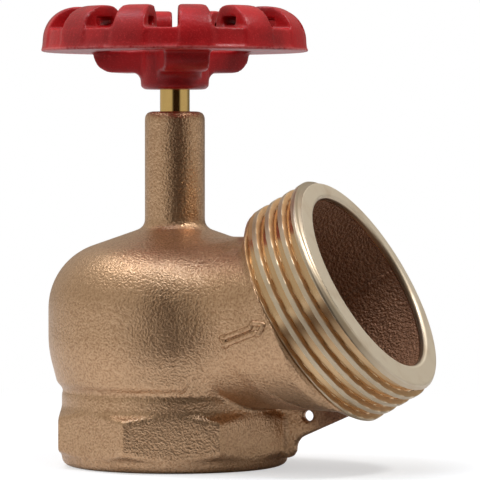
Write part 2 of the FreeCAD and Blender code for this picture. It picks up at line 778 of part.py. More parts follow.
def lobes(body):
    sketch = new_sketch(body, "XZ_Plane", "lobe_outline")
    foot = size.rim_bottom + size.rim_lip
    top = size.rim_bottom + size.lobe_height
    lobe_foot = size.rim_outer - size.lobe_set
    outline(sketch, [
        (size.rim_inner, foot),
        (lobe_foot, foot),
        (lobe_foot - size.lobe_draft, top, size.lobe_round),
        (size.rim_inner, top, size.lobe_inner_round)])
    lobe = turned(body, "PartDesign::Revolution", "lobe", sketch)
    lobe.Midplane = True
    lobe.setExpression("Angle", size.lobe_angle.text)
    doc.recompute()
    repeated(body, "lobes", lobe, "Z_Axis", size.lobe_count)


def tunnel(body):
    # the groove that runs round through all lobes, just above the band
    sketch = new_sketch(body, "XZ_Plane", "tunnel_outline")
    floor = size.rim_bottom + size.rim_band + size.tunnel_rise
    outline(sketch, [
        (size.tunnel_inner, floor), (size.tunnel_outer, floor),
        (size.tunnel_outer, floor + size.tunnel_height), (size.tunnel_inner, floor + size.tunnel_height)])
    turned(body, "PartDesign::Groove", "tunnel", sketch)


def make_handwheel():
    body = new_body("handwheel")
    hub(body)
    spokes(body)
    hub_fillets(body)
    rim(body)
    lobes(body)
    tunnel(body)
    sketch = raised(new_sketch(body, "XY_Plane", "square_hole_outline"), size.hub_bottom)
    polygon_at(sketch, SQUARE_SIDES, size.square + size.square_gap * 2)
    extruded(body, "PartDesign::Pocket", "square_hole", sketch, size.hub_height, backwards=True)
    body.setExpression("Placement.Rotation.Angle", size.wheel_phase.text)
    return body


def make_wheel_washer():
    inside = size.bolt_radius + size.wheel_washer_gap
    return flat_ring("wheel_washer", inside, size.wheel_washer_radius, hub_top, wheel_nut_bottom)


def make_wheel_nut():
    body = new_body("wheel_nut")
    bore = size.bolt_radius + size.stem_clearance
    hexagon(body, "wheel_nut_hexagon", size.wheel_nut_flats, wheel_nut_bottom, size.wheel_nut_height, bore)
    return body


parts = [
    make_valve_body(),
    make_stem(),
    make_ring_seal("stem_o_ring_lower", size.seal_low),
    make_ring_seal("stem_o_ring_upper", size.seal_low + size.seal_pitch),
    make_disc_holder(),
    make_seal_disc(),
    make_seal_washer(),
    make_seal_screw(),
    make_disc_nut(),
    make_handwheel(),
    make_wheel_washer(),
    make_wheel_nut()]
doc.recompute()

# every object has to be sound before anything is written
for item in doc.Objects:
    if "Invalid" in item.State or "Error" in item.State:
        raise RuntimeError("%s failed: %s" % (item.Label, item.State))
for part in parts:
    if part.Shape.isNull() or not part.Shape.isValid() or len(part.Shape.Solids) != 1:
        raise RuntimeError("%s is not one sound solid" % part.Label)

os.makedirs("parts", exist_ok=True)
for part in parts:
    part.Shape.exportStep("parts/%s.step" % part.Label)
    print("%-18s %9.0f mm3" % (part.Label, part.Shape.Volume))
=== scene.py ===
import math

import bmesh
import bpy
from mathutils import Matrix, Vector
from mathutils.bvhtree import BVHTree


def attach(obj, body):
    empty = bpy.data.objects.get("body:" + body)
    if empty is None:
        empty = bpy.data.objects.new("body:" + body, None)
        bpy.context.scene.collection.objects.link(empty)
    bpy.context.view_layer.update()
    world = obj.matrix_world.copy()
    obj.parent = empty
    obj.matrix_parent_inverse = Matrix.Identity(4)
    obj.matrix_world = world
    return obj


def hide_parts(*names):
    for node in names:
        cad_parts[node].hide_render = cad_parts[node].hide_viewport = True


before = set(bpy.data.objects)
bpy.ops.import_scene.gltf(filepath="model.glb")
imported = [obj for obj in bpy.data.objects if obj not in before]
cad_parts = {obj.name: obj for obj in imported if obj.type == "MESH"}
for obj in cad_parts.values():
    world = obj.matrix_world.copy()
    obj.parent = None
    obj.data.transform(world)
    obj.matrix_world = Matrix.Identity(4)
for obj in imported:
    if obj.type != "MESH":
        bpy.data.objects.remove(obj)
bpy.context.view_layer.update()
scene = bpy.context.scene
mm = 0.001
weld = 0.002 * mm  # points closer than this become one
print("frame loaded:", len(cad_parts), "nodes")

# the slanted outlet's own frame: along its axis, up from it, and out to the front
outlet = {
    "start": Vector((0, 0, 24.5)) * mm,
    "along": Vector((0.870356, 0, 0.492424)),
    "up": Vector((-0.492424, 0, 0.870356)),
    "front": Vector((0, -1, 0)),
}

# the same for what is turned about the stem's axis
upright = {
    "start": Vector((0, 0, 0)),
    "along": Vector((0, 0, 1)),
    "up": Vector((1, 0, 0)),
    "front": Vector((0, 1, 0)),
}

# the cored bore lies a little off the collar's axis, most at the mouth
boreLean = {
    "shift": outlet["up"] * 1.2 * mm - outlet["front"] * 2.2 * mm,
    "along": (60.0 * mm, 82.0 * mm), "away": (40.5 * mm, 37.0 * mm),
}


def ramp(value, low, high):
    # 0 at low, 1 at high, and level beyond them
    return max(0.0, min(1.0, (value - low) / (high - low)))


def outletPoint(along, radius, angle):
    across = outlet["up"] * math.cos(angle) + outlet["front"] * math.sin(angle)
    return outlet["start"] + outlet["along"] * along + across * radius


def outletReach(spot):
    return (spot - outlet["start"]).dot(outlet["along"])


def outletParts(spot):
    # how far along the outlet's axis a point lies, and the way from the axis out to it
    reach = outletReach(spot)
    return reach, spot - outlet["start"] - outlet["along"] * reach


def leaned(spot):
    reach, across = outletParts(spot)
    share = ramp(reach, *boreLean["along"]) * ramp(across.length, *boreLean["away"])
    return spot + boreLean["shift"] * share


# node trees: a wire is one socket that can take part in a sum, a bench makes the nodes
class Wire:
    def __init__(self, bench, socket):
        self.bench = bench
        self.socket = socket

    def __add__(self, other):
        return self.bench.math("ADD", self, other)

    def __radd__(self, other):
        return self.bench.math("ADD", other, self)

    def __sub__(self, other):
        return self.bench.math("SUBTRACT", self, other)

    def __rsub__(self, other):
        return self.bench.math("SUBTRACT", other, self)

    def __mul__(self, other):
        return self.bench.math("MULTIPLY", self, other)

    def __rmul__(self, other):
        return self.bench.math("MULTIPLY", other, self)

    def __truediv__(self, other):
        return self.bench.math("DIVIDE", self, other)

    def __rtruediv__(self, other):
        return self.bench.math("DIVIDE", other, self)


class Made:
    def __init__(self, bench, node):
        self.bench = bench
        self.node = node

    def __getitem__(self, name):
        return Wire(self.bench, findSocket(self.node.outputs, name))


def findSocket(sockets, name):
    if isinstance(name, int):
        return sockets[name]
    for socket in sockets:
        if socket.identifier == name:
            return socket
    return sockets[name]


class Bench:
    def __init__(self, tree):
        self.tree = tree
        tree.nodes.clear()

    def node(self, kind, settings=None, inputs=None):
        made = self.tree.nodes.new(kind)
        for name, value in (settings or {}).items():
            setattr(made, name, value)
        for name, value in (inputs or {}).items():
            socket = findSocket(made.inputs, name)
            if isinstance(value, Wire):
                self.tree.links.new(value.socket, socket)
            else:
                socket.default_value = value
        return Made(self, made)

    def math(self, operation, *values):
        return self.node("ShaderNodeMath", {"operation": operation}, dict(enumerate(values)))["Value"]

    def vector(self, operation, *values, out="Vector"):
        return self.node("ShaderNodeVectorMath", {"operation": operation}, dict(enumerate(values)))[out]

    def scale(self, vector, factor):
        made = self.node("ShaderNodeVectorMath", {"operation": "SCALE"}, {0: vector, "Scale": factor})
        return made["Vector"]

    def split(self, vector):
        return self.node("ShaderNodeSeparateXYZ", None, {"Vector": vector})

    def fade(self, value, low, high):
        # 0 at low, 1 at high, smooth between
        made = self.node("ShaderNodeMapRange", {"interpolation_type": "SMOOTHSTEP"},
                         {"Value": value, "From Min": low, "From Max": high})
        return made["Result"]

    def mix(self, factor, first, second, blend="MIX"):
        made = self.node("ShaderNodeMix", {"data_type": "RGBA", "blend_type": blend},
                         {"Factor_Float": factor, "A_Color": first, "B_Color": second})
        return made["Result_Color"]

    def grey(self, tone):
        return self.node("ShaderNodeCombineColor", None, {"Red": tone, "Green": tone, "Blue": tone})["Color"]

    def noise(self, place, scale, detail=2.0):
        made = self.node("ShaderNodeTexNoise", None, {"Vector": place, "Scale": scale, "Detail": detail})
        return made["Fac"]

    def bump(self, look, height):
        made = self.node("ShaderNodeBump", None,
                         {"Strength": look["bump"], "Distance": look["bumpDepth"], "Height": height})
        return made["Normal"]


def rgb(red, green, blue):
    return (red, green, blue, 1)


def newMaterial(name):
    material = bpy.data.materials.new(name)
    material.use_nodes = True
    return material, Bench(material.node_tree)


def surface(bench, inputs):
    shader = bench.node("ShaderNodeBsdfPrincipled", None, inputs)
    bench.node("ShaderNodeOutputMaterial", None, {"Surface": shader["BSDF"]})


def place(bench):
    return bench.node("ShaderNodeTexCoord")["Object"]


def outletPlace(bench, where):
    # distance along the outlet's axis and off it
    local = bench.vector("SUBTRACT", where, outlet["start"])
    along = bench.vector("DOT_PRODUCT", local, outlet["along"], out="Value")
    onAxis = bench.scale(outlet["along"], along)
    away = bench.vector("LENGTH", bench.vector("SUBTRACT", local, onAxis), out="Value")
    return along, away


# shot-blasted bronze casting: one tone all over, its grain comes from small dents that catch the light
bronzeLook = {
    "tone": rgb(0.56, 0.352, 0.205), "deep": rgb(0.37, 0.210, 0.112), "pale": rgb(0.66, 0.44, 0.27),
    "grain": 1250.0, "wave": 150.0, "waveHeight": 0.8, "patch": 26.0,
    "deepFrom": (0.56, 0.30), "deepShare": 0.8, "paleFrom": (0.52, 0.76), "paleShare": 0.7,
    "patchFrom": (0.40, 0.70), "patchShare": 0.25,
    "bump": 1.0, "bumpDepth": 0.30 * mm, "rough": 0.36, "patchRough": 0.10, "grainRough": 0.12,
    # the cored wall keeps a dull, rougher skin; its darker colour is partly that skin and partly painted
    # shade inside the bore
    "core": rgb(0.44, 0.215, 0.112), "coreDeep": rgb(0.13, 0.056, 0.027), "coreGrain": 950.0,
    "coreAway": (40.0 * mm, 38.5 * mm), "coreAlong": (40.0 * mm, 55.0 * mm),
    "coreHeight": 4.0, "coreDull": 0.7, "coreRough": 0.2,
}


def makeBronze():
    look = bronzeLook
    material, bench = newMaterial("blastedBronze")
    where = place(bench)
    grain = bench.noise(where, look["grain"], 1.5)
    wave = bench.noise(where, look["wave"])
    patch = bench.noise(where, look["patch"], 3.0)
    along, away = outletPlace(bench, where)
    # mask of the bore's wall: it dulls and roughens the cored skin, and darkens its colour as painted shade
    coredSkinAndShade = bench.fade(away, *look["coreAway"]) * bench.fade(along, *look["coreAlong"])
    dents = bench.noise(where, look["coreGrain"]) * coredSkinAndShade * look["coreHeight"]
    colour = bench.mix(bench.fade(grain, *look["deepFrom"]) * look["deepShare"], look["tone"], look["deep"])
    colour = bench.mix(bench.fade(grain, *look["paleFrom"]) * look["paleShare"], colour, look["pale"])
    colour = bench.mix(bench.fade(patch, *look["patchFrom"]) * look["patchShare"], colour, look["pale"])
    # inside the bore the colour turns darker: partly the cored skin's own tone, partly painted shade
    colour = bench.mix(coredSkinAndShade, colour, bench.mix(grain, look["coreDeep"], look["core"]))
    rough = look["rough"] + coredSkinAndShade * look["coreRough"]
    rough = rough + (patch - 0.5) * look["patchRough"] + (0.5 - grain) * look["grainRough"]
    surface(bench, {"Base Color": colour, "Metallic": 1 - coredSkinAndShade * look["coreDull"], "Roughness": rough,
                    "Normal": bench.bump(look, grain + wave * look["waveHeight"] + dents)})
    return material


# turned brass of the hose thread: pale flat crests, shiny golden valleys, fine tool marks
threadLook = {
    "crest": rgb(0.68, 0.56, 0.40), "bevel": rgb(0.50, 0.405, 0.29), "valley": rgb(0.68, 0.455, 0.245),
    "face": rgb(0.68, 0.59, 0.46), "stain": rgb(0.42, 0.26, 0.13),
    "crestFrom": (-0.4 * mm, -0.05 * mm), "flankFrom": (0.1 * mm, 0.5 * mm),  # from the crest, from the root
    "bevelFrom": (-2.9 * mm, -2.1 * mm), "faceFrom": (-0.6 * mm, -0.2 * mm),  # from the front face
    "cloud": 120.0, "stainFrom": (0.45, 0.75), "stainShare": 0.25,
    "marks": 5200.0, "bump": 0.14, "bumpDepth": 0.06 * mm, "rough": 0.19, "marksRough": 0.12,
    "crestRough": 0.25, "flankRough": 0.39, "bevelSmooth": 0.08, "faceRough": 0.27,
}


def makeThreadBrass():
    look = threadLook
    material, bench = newMaterial("turnedThreadBrass")
    where = place(bench)
    along, away = outletPlace(bench, where)
    past = along - hoseThread["face"]
    bevel = bench.fade(past, *look["bevelFrom"])
    face = bench.fade(past, *look["faceFrom"])
    crest = bench.math("MAXIMUM", bench.fade(away - hoseThread["radius"], *look["crestFrom"]), bevel)
    root = hoseThread["radius"] - hoseThread["depth"]
    flank = bench.fade(away - root, *look["flankFrom"]) * (1 - crest)
    turned = bench.node("ShaderNodeCombineXYZ", None, {"X": along, "Y": away})["Vector"]
    marks = bench.noise(turned, look["marks"])
    cloud = bench.noise(where, look["cloud"], 3.0)
    colour = bench.mix(crest, look["valley"], look["crest"])
    colour = bench.mix(bevel, colour, look["bevel"])
    colour = bench.mix(face, colour, look["face"])
    colour = bench.mix(bench.fade(cloud, *look["stainFrom"]) * look["stainShare"], colour, look["stain"])
    rough = look["rough"] + crest * look["crestRough"] + flank * look["flankRough"]
    rough = rough - bevel * look["bevelSmooth"] + face * look["faceRough"]
    rough = rough + (marks - 0.5) * look["marksRough"]
    surface(bench, {"Base Color": colour, "Metallic": 1.0, "Roughness": rough,
                    "Normal": bench.bump(look, marks)})
    return material


# satin red paint on the cast wheel: slightly mottled, paler in patches along the rim's lower lip
paintLook = {
    "deep": rgb(0.22, 0.003, 0.004), "red": rgb(0.38, 0.006, 0.008), "bright": rgb(0.64, 0.030, 0.032),
    "cloud": 55.0, "cloudFrom": (0.35, 0.65), "speck": 2100.0, "speckFrom": (0.50, 0.76), "speckShare": 0.5,
    "rubbed": rgb(0.62, 0.16, 0.15), "rubFrom": (0.38, 0.56), "rubShare": 0.45,
    "lipRadius": (48.7 * mm, 49.1 * mm), "lipHeight": (154.2 * mm, 153.7 * mm),
    "peel": 700.0, "peelHeight": 0.7, "speckHeight": 0.3, "bump": 0.55, "bumpDepth": 0.25 * mm,
    "rough": 0.36, "peelRough": 0.2, "shine": 0.26,
}


def makePaint():
    look = paintLook
    material, bench = newMaterial("redWheelPaint")
    where = place(bench)
    parts = bench.split(where)
    away = bench.math("SQRT", parts["X"] * parts["X"] + parts["Y"] * parts["Y"])
    cloud = bench.noise(where, look["cloud"], 3.0)
    peel = bench.noise(where, look["peel"])
    speck = bench.noise(where, look["speck"])
    colour = bench.mix(bench.fade(cloud, *look["cloudFrom"]), look["deep"], look["red"])
    colour = bench.mix(bench.fade(speck, *look["speckFrom"]) * look["speckShare"], colour, look["bright"])
    lip = bench.fade(away, *look["lipRadius"]) * bench.fade(parts["Z"], *look["lipHeight"])
    # the colour turns paler in patches along the rim's lower lip
    rubbed = lip * bench.fade((peel + cloud) * 0.5, *look["rubFrom"])
    colour = bench.mix(rubbed * look["rubShare"], colour, look["rubbed"])
    height = peel * look["peelHeight"] + speck * look["speckHeight"]
    surface(bench, {"Base Color": colour, "Specular IOR Level": look["shine"],
                    "Normal": bench.bump(look, height),
                    "Roughness": look["rough"] + (peel - 0.5) * look["peelRough"]})
    return material


# brass from the lathe, with faint rings: polished on the stem, duller on the small parts
stemLook = {
    "name": "polishedStemBrass", "colour": rgb(0.83, 0.57, 0.21), "dull": rgb(0.72, 0.47, 0.18),
    "rough": 0.13, "rings": 2600.0,
}
turnedLook = {
    "name": "turnedBrass", "colour": rgb(0.74, 0.52, 0.24), "dull": rgb(0.55, 0.36, 0.17),
    "rough": 0.28, "rings": 1700.0,
}
latheLook = {
    "cloud": 160.0, "dullFrom": (0.4, 0.72), "dullShare": 0.5, "bump": 0.08, "bumpDepth": 0.05 * mm,
    "ringRough": 0.08, "cloudRough": 0.06,
}


def makeLatheBrass(look):
    material, bench = newMaterial(look["name"])
    where = place(bench)
    height = bench.node("ShaderNodeCombineXYZ", None, {"Z": bench.split(where)["Z"]})["Vector"]
    rings = bench.noise(height, look["rings"])
    cloud = bench.noise(where, latheLook["cloud"], 3.0)
    dulled = bench.fade(cloud, *latheLook["dullFrom"]) * latheLook["dullShare"]
    rough = look["rough"] + (rings - 0.5) * latheLook["ringRough"] + (cloud - 0.5) * latheLook["cloudRough"]
    surface(bench, {"Base Color": bench.mix(dulled, look["colour"], look["dull"]), "Metallic": 1.0,
                    "Roughness": rough, "Normal": bench.bump(latheLook, rings)})
    return material


rubberLook = {
    "black": rgb(0.018, 0.018, 0.018), "dusty": rgb(0.05, 0.048, 0.045), "dust": 260.0, "skin": 2400.0,
    "bump": 0.25, "bumpDepth": 0.1 * mm, "rough": 0.62, "dustRough": 0.2,
}


def makeRubber():
    look = rubberLook
    material, bench = newMaterial("sealRubber")
    where = place(bench)
    dust = bench.noise(where, look["dust"], 4.0)
    skin = bench.noise(where, look["skin"], 1.0)
    surface(bench, {"Base Color": bench.mix(dust, look["black"], look["dusty"]),
                    "Normal": bench.bump(look, skin),
                    "Roughness": look["rough"] + (dust - 0.5) * look["dustRough"]})
    return material


steelLook = {
    "grey": rgb(0.55, 0.55, 0.56), "bright": rgb(0.74, 0.73, 0.70), "cloud": 300.0, "grain": 2600.0,
    "bump": 0.12, "bumpDepth": 0.06 * mm, "rough": 0.30, "cloudRough": 0.2,
}


def makePlatedSteel():
    look = steelLook
    material, bench = newMaterial("zincPlatedSteel")
    where = place(bench)
    cloud = bench.noise(where, look["cloud"], 3.0)
    grain = bench.noise(where, look["grain"])
    surface(bench, {"Base Color": bench.mix(cloud, look["grey"], look["bright"]), "Metallic": 1.0,
                    "Normal": bench.bump(look, grain),
                    "Roughness": look["rough"] + (cloud - 0.5) * look["cloudRough"]})
    return material


# meshes
def addPiece(name, mesh, body, material):
    piece = bpy.data.objects.new(name, mesh)
    scene.collection.objects.link(piece)
    mesh.materials.clear()
    mesh.materials.append(material)
    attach(piece, body)
    print(name, len(mesh.polygons), "faces")
    return piece


def mergedCopy(node):
    # the node's loose triangles, joined
    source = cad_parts[node].data
    sheet = bmesh.new()
    sheet.from_mesh(source)
    bmesh.ops.remove_doubles(sheet, verts=sheet.verts, dist=weld)
    mesh = bpy.data.meshes.new(node + "Copy")
    sheet.to_mesh(mesh)
    sheet.free()
    if "custom_normal" in mesh.attributes:
        mesh.attributes.remove(mesh.attributes["custom_normal"])
    return mesh


def plainMesh(holder):
    # what the holder's modifiers make of its mesh
    scene.collection.objects.link(holder)
    graph = bpy.context.evaluated_depsgraph_get()
    made = bpy.data.meshes.new_from_object(holder.evaluated_get(graph))
    bpy.data.objects.remove(holder)
    return made


def evaluated(mesh, kinds, chosen=None):
    # the mesh after a few modifiers, some of which may work on chosen points only
    holder = bpy.data.objects.new("holder", mesh)
    if chosen:
        group = holder.vertex_groups.new(name="chosen")
        for index, weight in chosen.items():
            group.add([index], weight, "REPLACE")
    for kind, settings in kinds:
        modifier = holder.modifiers.new(kind.lower(), kind)
        for name, value in settings.items():
            setattr(modifier, name, value)
    return plainMesh(holder)


def softened(mesh, voxel, rounds):
    return evaluated(mesh, [("REMESH", {"mode": "VOXEL", "voxel_size": voxel, "adaptivity": 0.0}),
                            ("SMOOTH", {"factor": 0.5, "iterations": rounds})])


def relaxed(mesh, weight, rounds):
    # smooths the mesh where the weight says so
    chosen = {vertex.index: weight(vertex.co) for vertex in mesh.vertices}
    chosen = {index: share for index, share in chosen.items() if share > 0}
    smooth = ("SMOOTH", {"factor": 0.5, "iterations": rounds, "vertex_group": "chosen"})
    return evaluated(mesh, [smooth], chosen)


def crisp(mesh, angle=32):
    mesh.shade_smooth()
    mesh.set_sharp_from_angle(angle=math.radians(angle))
    return mesh


def outwardFaces(mesh):
    sheet = bmesh.new()
    sheet.from_mesh(mesh)
    bmesh.ops.recalc_face_normals(sheet, faces=sheet.faces)
    sheet.to_mesh(mesh)
    sheet.free()
    return mesh


def skinOf(mesh):
    faces = [face.vertices for face in mesh.polygons]
    return BVHTree.FromPolygons([vertex.co for vertex in mesh.vertices], faces)


# the casting: its edges are as round as sand leaves them, and the turned collar is a piece of its own
castSettings = {
    "voxel": 0.95 * mm, "rounds": 3, "hiddenKeep": 0.2,
    "collarCut": 64.5 * mm, "collarWall": 38.0 * mm, "underCollar": 39.5 * mm, "boreEnd": 86.6 * mm,
    "inletTop": 20.6 * mm, "inletRoom": 38.0 * mm,
    "neckFoot": 75.0 * mm, "screwTop": 112.8 * mm, "screwRoom": 8.4 * mm, "stemRoom": 5.85 * mm,
}

# walls inside the casting, which show little and need few faces
waterway = {
    "inletTop": 30.0 * mm, "inletRadius": 38.5 * mm, "seatTop": 58.0 * mm, "seatRadius": 42.3 * mm,
    "globeRadius": 39.0 * mm, "crownTop": 85.1 * mm, "crownEdge": 11.15 * mm, "crownFall": 0.35,
    "neckRadius": 9.5 * mm, "neckTop": 128.0 * mm,
}


def insideCasting(spot):
    room = waterway
    away = math.hypot(spot.x, spot.y)
    if spot.z < room["inletTop"]:
        return away < room["inletRadius"]
    if spot.z < room["seatTop"]:
        return away < room["seatRadius"]
    crown = room["crownTop"] - room["crownFall"] * (away - room["crownEdge"])
    inGlobe = away < room["globeRadius"] and spot.z < crown
    inNeck = away < room["neckRadius"] and spot.z < room["neckTop"]
    return inGlobe or inNeck


# three places are smoothed further; a pair is where the smoothing starts and where it is in full
saddle = {
    "rounds": 90, "cornerX": 24.5 * mm, "leanBelow": 75.0 * mm, "lean": 0.17, "reach": 11.0 * mm,
    "low": (29.0 * mm, 35.0 * mm), "high": (86.0 * mm, 80.0 * mm), "aside": (12.0 * mm, 18.0 * mm),
}
collarFoot = {
    "rounds": 33, "within": 36.5 * mm, "beyond": 55.0 * mm,
    "behind": (44.0 * mm, 53.0 * mm), "ahead": (64.5 * mm, 61.0 * mm), "low": (27.0 * mm, 31.0 * mm),
}
boss = {
    "rounds": 30, "away": (39.0 * mm, 40.5 * mm), "high": (28.0 * mm, 25.0 * mm),
    "outletSide": (47.0 * mm, 45.0 * mm),
}


def saddleWeight(spot):
    # 1 along the corner between globe and branch
    corner = saddle["cornerX"] + saddle["lean"] * max(0, saddle["leanBelow"] - spot.z)
    across = min(1, 2 * ramp(abs(spot.x - corner), saddle["reach"], 0))
    ends = ramp(spot.z, *saddle["low"]) * ramp(spot.z, *saddle["high"]) * ramp(abs(spot.y), *saddle["aside"])
    return across * ends


def collarWeight(spot):
    # 1 just behind the collar, 0 on the thread
    reach, across = outletParts(spot)
    if not collarFoot["within"] <= across.length <= collarFoot["beyond"]:
        return 0
    ends = ramp(reach, *collarFoot["behind"]) * ramp(reach, *collarFoot["ahead"])
    return ends * ramp(spot.z, *collarFoot["low"])


def bossWeight(spot):
    # 1 on the octagon's outside
    away = math.hypot(spot.x, spot.y)
    return ramp(away, *boss["away"]) * ramp(spot.z, *boss["high"]) * ramp(spot.x, *boss["outletSide"])


# the branch's flanks run straight on to the thread, as cast, instead of turning in before it
flanks = {
    "begin": 46.0 * mm, "end": 55.0 * mm, "blend": 3.0 * mm, "last": 67.0 * mm, "most": 46.2 * mm,
    "within": 40.0 * mm, "outside": 80.0 * mm, "upper": (55, 75), "lower": (142, 125),
}


def carriedOn(mesh):
    skin = skinOf(mesh)
    start, along = outlet["start"], outlet["along"]
    begin, end = flanks["begin"], flanks["end"]

    def reachOut(at, way):
        spot, _, _, _ = skin.ray_cast(start + along * at + way * flanks["outside"], -way)
        return (spot - start - along * at).dot(way)

    for vertex in mesh.vertices:
        reach, across = outletParts(vertex.co)
        away = across.length
        if not (end < reach < flanks["last"] and away > flanks["within"]):
            continue
        way = across / away
        turn = math.degrees(math.acos(max(-1.0, min(1.0, way.dot(outlet["up"])))))
        share = ramp(turn, *flanks["upper"]) * ramp(turn, *flanks["lower"])
        share *= ramp(reach, end, end + flanks["blend"])
        if share > 0:
            near, far = reachOut(begin, way), reachOut(end, way)
            wanted = far + (far - near) * (reach - end) / (end - begin)
            vertex.co += way * max(0.0, min(wanted, flanks["most"]) - away) * share
    return mesh


def thinnedInside(mesh):
    hidden = {vertex.index: 1.0 for vertex in mesh.vertices if insideCasting(vertex.co)}
    keep = 1 - len(hidden) / len(mesh.vertices) * (1 - castSettings["hiddenKeep"])
    return evaluated(mesh, [("DECIMATE", {"ratio": keep, "vertex_group": "chosen"})], hidden)


def clearBores(sheet):
    setup = castSettings
    for vertex in sheet.verts:
        # the inlet's wall steps back to leave room for the pipe thread
        away = vertex.co.xy.length
        if vertex.co.z < setup["inletTop"] and away < setup["inletRoom"]:
            vertex.co.xy *= setup["inletRoom"] / away
        # and the neck's bore stays clear of the stem and of its thread
        room = setup["stemRoom"] if vertex.co.z > setup["screwTop"] else setup["screwRoom"]
        if vertex.co.z > setup["neckFoot"] and away < room:
            vertex.co.xy *= room / away


def cutCollar(sheet):
    # takes off the collar's outside and the end of the bore, which the thread's piece has
    setup = castSettings
    for cutAt, clear in ((setup["collarCut"], False), (setup["boreEnd"], True)):
        bmesh.ops.bisect_plane(sheet, geom=[*sheet.verts, *sheet.edges, *sheet.faces], dist=1e-7,
                               plane_co=outlet["start"] + outlet["along"] * cutAt, plane_no=outlet["along"],
                               clear_outer=clear)
    collar = []
    for face in sheet.faces:
        reach, across = outletParts(face.calc_center_median())
        if reach > setup["collarCut"] and across.length > setup["collarWall"]:
            collar.append(face)
    bmesh.ops.delete(sheet, geom=collar, context="FACES")


def openEdges(sheet):
    return [edge for edge in sheet.edges if edge.is_boundary]


def closeUnderCollar(sheet):
    # the cut edge turns in under the collar before it is joined to the bore
    setup = castSettings
    nearCut = setup["collarCut"] + 1 * mm
    outer = [edge for edge in openEdges(sheet) if outletReach(edge.verts[0].co) < nearCut]
    turned = bmesh.ops.extrude_edge_only(sheet, edges=outer)["geom"]
    for vertex in turned:
        if isinstance(vertex, bmesh.types.BMVert):
            middle = outlet["start"] + outlet["along"] * outletReach(vertex.co)
            vertex.co = middle + (vertex.co - middle).normalized() * setup["underCollar"]
    bmesh.ops.bridge_loops(sheet, edges=openEdges(sheet))


def makeCasting(material):
    mesh = softened(mergedCopy("valve_body"), castSettings["voxel"], castSettings["rounds"])
    mesh = relaxed(mesh, saddleWeight, saddle["rounds"])
    mesh = relaxed(carriedOn(mesh), collarWeight, collarFoot["rounds"])
    mesh = thinnedInside(relaxed(mesh, bossWeight, boss["rounds"]))
    sheet = bmesh.new()
    sheet.from_mesh(mesh)
    clearBores(sheet)
    cutCollar(sheet)
    for vertex in sheet.verts:
        vertex.co = leaned(vertex.co)
    closeUnderCollar(sheet)
    bmesh.ops.recalc_face_normals(sheet, faces=sheet.faces)
    sheet.to_mesh(mesh)
    sheet.free()
    mesh.shade_smooth()
    piece = addPiece("casting", mesh, "casing", material)
    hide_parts("valve_body")
    return piece


# the hose thread: a section swept round the outlet's axis and cut by one helical groove
hoseThread = {
    "radius": 43.7 * mm, "depth": 2.4 * mm, "pitch": 5.72 * mm, "crest": 1.8 * mm, "flank": 10.0,
    "firstValley": 65.75 * mm, "startAngle": 50.0, "fadeAngle": 45.0, "endAngle": 1640.0, "runOut": 400.0,
    "back": 61.5 * mm, "sunk": 1.2 * mm, "shoulder": 65.0 * mm, "face": 89.0 * mm, "bevel": 2.0 * mm,
    "bore": 34.8 * mm, "boreEnd": 86.2 * mm, "lip": 0.2 * mm, "room": 3.0 * mm, "mouthBevel": 0.6 * mm,
    "around": 441, "step": 0.17 * mm,
    # rounded corners: mm along and out from the sharp corner, and how much of the groove is cut there
    "shoulderCorner": ((-0.8, -1.9, 1.0), (-0.4, -0.45, 1.0), (0.25, 0.0, 1.0)),
    "bevelCorner": ((-0.3, 0.0, 1.0), (0.15, -0.2, 1.0)),
    "faceCorner": ((-0.4, 0.4, 1.0), (-0.1, 0.05, 0.6), (0.0, -0.3, 0.0)),
}


class Section:
    # points along a section: distance along the axis, radius, and how much of the groove is cut there
    def __init__(self, along, radius):
        self.points = [(along, radius, 0.0)]

    def run(self, along, radius, cut, spacing):
        begin = self.points[-1]
        count = max(1, round(math.dist(begin[:2], (along, radius)) / spacing))
        for index in range(1, count + 1):
            part = index / count
            out = begin[1] + (radius - begin[1]) * part
            self.points.append((begin[0] + (along - begin[0]) * part, out, cut))

    def corner(self, along, radius, steps, spacing):
        for ahead, out, cut in steps:
            self.run(along + ahead * mm, radius + out * mm, cut, spacing)


def hoseSection():
    setup = hoseThread
    back, shoulder, face, boreEnd = setup["back"], setup["shoulder"], setup["face"], setup["boreEnd"]
    radius, bevel, bore, chamfer = setup["radius"], setup["bevel"], setup["bore"], setup["mouthBevel"]
    fine, lip, wall = setup["step"], bore - setup["lip"], bore + setup["room"]
    sunk = radius - (shoulder - back) - setup["sunk"]
    section = Section(back, sunk)
    section.corner(shoulder, radius, setup["shoulderCorner"], fine)
    section.corner(face - bevel, radius, setup["bevelCorner"], fine)
    section.corner(face, radius - bevel, setup["faceCorner"], fine)
    # the mouth, then back along the hidden wall
    section.run(face, bore + chamfer + 0.25 * mm, 0.0, 0.5 * mm)
    section.run(face - 0.12 * mm, bore + chamfer, 0.0, 0.15 * mm)
    section.run(face - chamfer, bore, 0.0, 0.3 * mm)
    section.run(face - chamfer - 0.3 * mm, lip, 0.0, 0.2 * mm)
    section.run(boreEnd, lip, 0.0, 0.6 * mm)
    section.run(boreEnd, wall, 0.0, 0.4 * mm)
    section.run(back, wall, 0.0, 2.5 * mm)
    section.run(back, sunk, 0.0, 1.0 * mm)
    return section.points


def finishTree(bench, geometry, material):
    smooth = bench.node("GeometryNodeSetShadeSmooth", None, {"Geometry": geometry})
    whole = bench.node("GeometryNodeRealizeInstances", None, {"Geometry": smooth["Geometry"]})
    dressed = bench.node("GeometryNodeSetMaterial", None,
                         {"Geometry": whole["Geometry"], "Material": material})
    bench.node("NodeGroupOutput", None, {"Geometry": dressed["Geometry"]})


